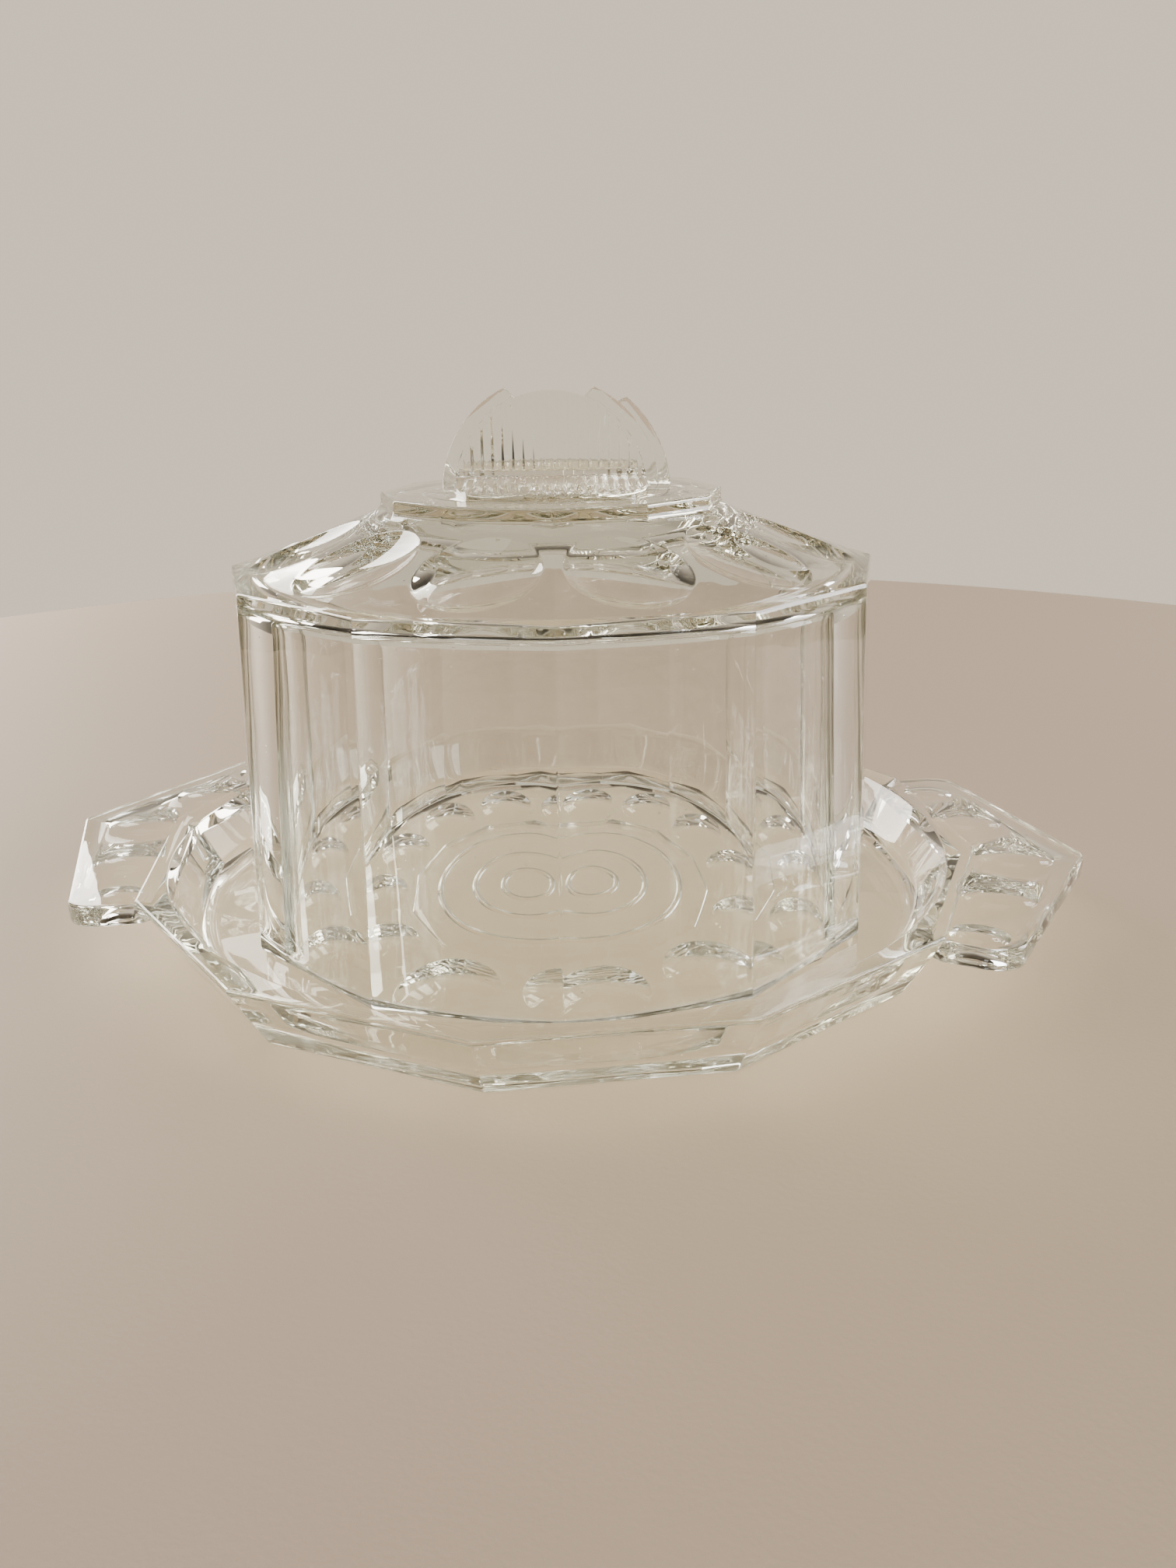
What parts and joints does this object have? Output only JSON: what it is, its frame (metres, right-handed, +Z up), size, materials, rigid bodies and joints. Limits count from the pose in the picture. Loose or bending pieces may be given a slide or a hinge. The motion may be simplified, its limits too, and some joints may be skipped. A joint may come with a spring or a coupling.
{
  "type": "covered butter dish",
  "caption": "Pressed glass butter dish: a twelve-sided tray with a handle at each end and a twelve-sided lid with a fan-shaped knob that lifts off.",
  "frame": {"origin": "middle of the tray's foot, on the table", "axes": "+Z up, +X from the middle towards one handle's tip, +Y to the side between the handles"},
  "size_m": [0.244, 0.1964, 0.1176],
  "materials": {
    "tray_glass": "fire-polished",
    "lid_glass": "fire-polished"
  },
  "bodies": {
    "tray": {"tray": "tray_glass"},
    "lid": {"lid": "lid_glass"}
  },
  "joints": [
    {"name": "lid_lift", "type": "slide", "parent": "tray", "child": "lid", "axis": [0, 0, 1], "range_m": [0, 0.15]}
  ]
}
